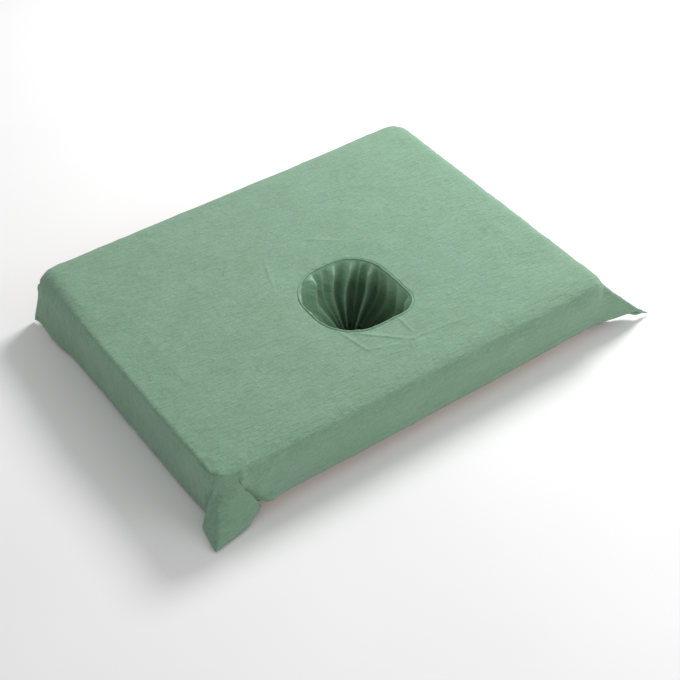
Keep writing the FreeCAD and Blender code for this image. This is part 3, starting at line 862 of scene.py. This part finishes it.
def crease_height(tree, point, start, end, width, rise):
    """A pressed crease in the cloth: a narrow ridge along one line of the cut sheet, fading at both ends."""
    length = math.hypot(end[0] - start[0], end[1] - start[1])
    along_line = add_node(tree, "ShaderNodeMapping", vector_type="TEXTURE")
    along_line.inputs["Location"].default_value = (start[0], start[1], 0)
    along_line.inputs["Rotation"].default_value = (0, 0, math.atan2(end[1] - start[1], end[0] - start[0]))
    along_line.inputs["Scale"].default_value = (length, width, 1)
    parts = add_node(tree, "ShaderNodeSeparateXYZ")
    tree.links.new(point, along_line.inputs["Vector"])
    tree.links.new(along_line.outputs["Vector"], parts.inputs["Vector"])
    x, y = parts.outputs["X"], parts.outputs["Y"]
    squared = calculate(tree, "MULTIPLY", y, y)
    across = calculate(tree, "EXPONENT", calculate(tree, "MULTIPLY", squared, -1.0), 0)
    to_end = calculate(tree, "SUBTRACT", 1.0, x)
    inside = calculate(tree, "MAXIMUM", calculate(tree, "MULTIPLY", x, to_end), 0.0)
    fade = calculate(tree, "POWER", calculate(tree, "MULTIPLY", inside, 4.0), 0.6)
    return calculate(tree, "MULTIPLY", calculate(tree, "MULTIPLY", across, fade), rise)


def cover_cloth_material(name, in_hole=False):
    """Washed cotton: a plain weave with slubs both ways, fine crinkles, and slightly uneven dye.
    in_hole is for the sleeve. Its colour is painted lighter near its rim and on its left side, as painted
    light, and darker towards its foot and between its folds, as painted shade."""
    made, tree, surface_node = new_material(name, 0.86)
    surface_node.inputs["Sheen Weight"].default_value = 0.18
    surface_node.inputs["Sheen Roughness"].default_value = 0.5
    surface_node.inputs["Specular IOR Level"].default_value = 0.25
    point = coordinates(tree, "weave")
    slub_along = noise_at(tree, point, (0.024, 0.0016, 0.01), 2.0, 0.6)
    slub_across = noise_at(tree, point, (0.0016, 0.020, 0.01), 2.0, 0.6)
    along = calculate(tree, "MULTIPLY", slub_along, 0.62)
    across = calculate(tree, "MULTIPLY", slub_across, 0.38)
    slub = calculate(tree, "ADD", along, across)
    grain = noise_at(tree, point, (0.0022, 0.0022, 0.01), 3.0, 0.7)
    patches = noise_at(tree, point, (0.075, 0.055, 0.05), 3.0, 0.5)
    dye = ramp(tree, slub, CLOTH_TONES)
    speckle = ramp(tree, grain, ((0.30, (0.84, 0.84, 0.85)), (0.70, (1.0, 1.0, 1.0))))
    uneven = ramp(tree, patches, ((0.32, (0.92, 0.93, 0.90)), (0.68, (1.0, 1.0, 1.0))))
    colour = mix_colour(tree, "MULTIPLY", 1.0, mix_colour(tree, "MULTIPLY", 1.0, dye, speckle), uneven)
    # Painted shade and painted light: the sleeve's colour is scaled by its depth attribute through the table
    # above.
    if in_hole:
        depth = add_node(tree, "ShaderNodeAttribute", attribute_name="depth").outputs["Fac"]
        painted_hole_shade = ramp(tree, depth, SLEEVE_PAINTED_SHADE)
        colour = mix_colour(tree, "MULTIPLY", 1.0, colour, painted_hole_shade)
    tree.links.new(colour, surface_node.inputs["Base Color"])
    crinkle = noise_at(tree, point, (0.0140, 0.0046, 0.01), 3.0, 0.55, 0.9)
    warp = thread_waves(tree, point, THREAD_PITCH, "X")
    weft = thread_waves(tree, point, THREAD_PITCH, "Y")
    threads = calculate(tree, "ADD", warp, weft)
    height = calculate(tree, "MULTIPLY", crinkle, 0.00250)
    height = calculate(tree, "ADD", height, calculate(tree, "MULTIPLY", slub, 0.00030))
    height = calculate(tree, "ADD", height, calculate(tree, "MULTIPLY", threads, 0.00004))
    if not in_hole:
        for crease in CREASES:
            height = calculate(tree, "ADD", height, crease_height(tree, point, *crease))
    add_bump(tree, surface_node, height)
    return made


def leather_material():
    """Tan coated fabric with a pebbled grain, with painted shade that makes it a little darker in its
    hollows.
    """
    made, tree, surface_node = new_material("tan_coated_fabric", 0.46)
    surface_node.inputs["Coat Weight"].default_value = 0.08
    surface_node.inputs["Coat Roughness"].default_value = 0.35
    point = coordinates(tree)
    cells = add_node(tree, "ShaderNodeTexVoronoi", feature="DISTANCE_TO_EDGE")
    cells.inputs["Scale"].default_value = 620.0
    tree.links.new(point, cells.inputs["Vector"])
    pebble = calculate(tree, "MINIMUM", cells.outputs["Distance"], 0.22)
    tone = noise_at(tree, point, (0.05, 0.05, 0.05), 4.0, 0.6)
    colour = ramp(tree, tone, ((0.30, (0.515, 0.310, 0.158)), (0.70, (0.555, 0.340, 0.180))))
    raised = calculate(tree, "MULTIPLY", pebble, 4.5)
    # Painted shade: the grain's hollows are darkened.
    painted_grain_shade = ramp(tree, raised, ((0.0, (0.80, 0.78, 0.76)), (0.5, (1.0, 1.0, 1.0))))
    tree.links.new(mix_colour(tree, "MULTIPLY", 1.0, colour, painted_grain_shade), surface_node.inputs["Base Color"])
    add_bump(tree, surface_node, calculate(tree, "MULTIPLY", pebble, 0.0009))
    return made


def grained_material(name, roughness, dark, light, size, rise, metallic=0.0, detail=4.0):
    """Two tones of noise of one size, with a bump of the same grain."""
    made, tree, surface_node = new_material(name, roughness, metallic)
    point = coordinates(tree)
    grain = noise_at(tree, point, size, detail, 0.6)
    tree.links.new(ramp(tree, grain, ((0.32, dark), (0.68, light))), surface_node.inputs["Base Color"])
    add_bump(tree, surface_node, calculate(tree, "MULTIPLY", grain, rise))
    return made


def plywood_material():
    """Birch plywood: long grain on the faces, and plies that show as bands at the edges."""
    made, tree, surface_node = new_material("birch_plywood", 0.62)
    point = coordinates(tree)
    grain = noise_at(tree, point, (0.090, 0.004, 0.5), 5.0, 0.65)
    plies = thread_waves(tree, point, 0.0030, "Z")
    wood = ramp(tree, grain, ((0.30, (0.50, 0.34, 0.19)), (0.70, (0.70, 0.53, 0.34))))
    bands = ramp(tree, plies, ((0.25, (0.78, 0.74, 0.70)), (0.75, (1.0, 1.0, 1.0))))
    tree.links.new(mix_colour(tree, "MULTIPLY", 1.0, wood, bands), surface_node.inputs["Base Color"])
    add_bump(tree, surface_node, calculate(tree, "MULTIPLY", grain, 0.0002))
    return made


FINISHES = {
    "cover_cloth": cover_cloth_material("washed_green_cotton"),
    "sleeve_cloth": cover_cloth_material("washed_green_cotton_in_hole", in_hole=True),
    "cover_thread": grained_material(
        "green_thread", 0.7, (0.13, 0.24, 0.16), (0.24, 0.38, 0.27), (0.0009, 0.0009, 0.0004), 0.0002
    ),
    "upholstery": leather_material(),
    "upholstery_thread": grained_material(
        "tan_thread", 0.6, (0.34, 0.19, 0.09), (0.52, 0.32, 0.17), (0.0009, 0.0009, 0.0004), 0.0002
    ),
    "plywood": plywood_material(),
    "firm_foam": grained_material(
        "firm_foam", 0.95, (0.62, 0.60, 0.52), (0.78, 0.76, 0.68), (0.0016, 0.0016, 0.0016), 0.0006
    ),
    "soft_foam": grained_material(
        "soft_foam", 0.95, (0.70, 0.62, 0.40), (0.86, 0.79, 0.55), (0.0022, 0.0022, 0.0022), 0.0008
    ),
    "dust_cloth": grained_material(
        "black_dust_cloth", 0.9, (0.012, 0.012, 0.013), (0.040, 0.040, 0.043), (0.004, 0.0012, 0.004), 0.0002
    ),
    "staple_steel": grained_material(
        "staple_steel", 0.34, (0.50, 0.50, 0.51), (0.70, 0.70, 0.71), (0.002, 0.002, 0.002), 0.00004, 1.0
    ),
    "loop_tape": grained_material(
        "looped_tape", 0.95, (0.020, 0.020, 0.022), (0.090, 0.090, 0.095), (0.0010, 0.0010, 0.0010), 0.0010
    ),
    "elastic": grained_material(
        "woven_elastic", 0.8, (0.62, 0.62, 0.60), (0.86, 0.86, 0.84), (0.0007, 0.0007, 0.004), 0.0003
    ),
}
NODE_FINISHES = {
    "base_board": "plywood",
    "foam_core": "firm_foam",
    "comfort_foam": "soft_foam",
    "hole_seam_thread": "upholstery_thread",
    "corner_seam_thread": "upholstery_thread",
    "dust_cover": "dust_cloth",
    "perimeter_staples": "staple_steel",
    "hole_staples": "staple_steel",
    "loop_strip_back": "loop_tape",
    "loop_strip_front_left": "loop_tape",
    "loop_strip_front_right": "loop_tape",
}


def finish_piece(piece, finish):
    piece.data.materials.clear()
    piece.data.materials.append(FINISHES[finish])


for node_name, finish_name in NODE_FINISHES.items():
    finish_piece(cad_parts[node_name], finish_name)

# ---- how the pieces belong to the frame -------------------
for piece, body, slot_name, nodes in (
    (cushion, "cushion", "upholstery", ("upholstery_cover", "hole_liner")),
    (band_stitches, "cushion", "upholstery_thread", ()),
    (sheet, "cloth_cover", "cover_cloth", ("cover_sheet",)),
    (sleeve, "cloth_cover", "cover_cloth", ("face_sleeve", "sleeve_elastic")),
    (rim_stitches, "cloth_cover", "cover_thread", ("rim_thread",)),
    (hem_stitches, "cloth_cover", "cover_thread", ("hem_thread",)),
    (casing_thread, "cloth_cover", "cover_thread", ("sleeve_seam_thread",)),
    (knots, "cloth_cover", "cover_thread", ("corner_tacks",)),
):
    finish_piece(piece, "sleeve_cloth" if piece is sleeve else slot_name)
    if nodes:
        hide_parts(*nodes)
    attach(piece, body)


# ---- floor, light and camera ------------------------------
FLOOR_HALF, FLOOR_Z = 6, -0.0004


def add_floor():
    corners = [(x * FLOOR_HALF, y * FLOOR_HALF, FLOOR_Z) for x, y in ((-1, -1), (1, -1), (1, 1), (-1, 1))]
    mesh = bpy.data.meshes.new("studio_floor")
    mesh.from_pydata(corners, [], [(0, 1, 2, 3)])
    floor = bpy.data.objects.new("studio_floor", mesh)
    bpy.context.scene.collection.objects.link(floor)
    made, tree, surface_node = new_material("pale_floor", 0.9)
    tone = noise_at(tree, coordinates(tree), (0.5, 0.5, 0.5))
    colour = ramp(tree, tone, ((0.3, (0.88, 0.88, 0.88)), (0.7, (0.92, 0.92, 0.92))))
    tree.links.new(colour, surface_node.inputs["Base Color"])
    mesh.materials.append(made)


def add_light(name, place, target, size, power):
    light = bpy.data.lights.new(name, "AREA")
    light.shape = "DISK"
    light.size = size
    light.energy = power
    lamp = bpy.data.objects.new(name, light)
    lamp.location = place
    lamp.rotation_euler = (Vector(target) - Vector(place)).to_track_quat("-Z", "Y").to_euler()
    bpy.context.scene.collection.objects.link(lamp)


def add_world(strength):
    world = bpy.data.worlds.new("studio")
    bpy.context.scene.world = world
    world.use_nodes = True
    background = world.node_tree.nodes["Background"]
    background.inputs["Color"].default_value = (1, 1, 1, 1)
    background.inputs["Strength"].default_value = strength


def add_camera(place, forward, lens):
    data = bpy.data.cameras.new("camera")
    data.lens = lens
    data.sensor_width = 36
    camera = bpy.data.objects.new("camera", data)
    camera.location = place
    camera.rotation_euler = Vector(forward).to_track_quat("-Z", "Y").to_euler()
    bpy.context.scene.collection.objects.link(camera)
    bpy.context.scene.camera = camera


add_floor()
add_world(0.50)
add_light("key", place=(1.5, 0.5, 1.5), target=(0, -0.15, 0), size=0.8, power=42)
add_light("fill", place=(1.0, -2.0, 1.3), target=(0, -0.15, 0), size=1.4, power=12)
add_camera(place=(-0.953, -1.533, 1.524), forward=(0.426, 0.596, -0.681), lens=76.76)
bpy.context.scene.view_settings.view_transform = "Standard"
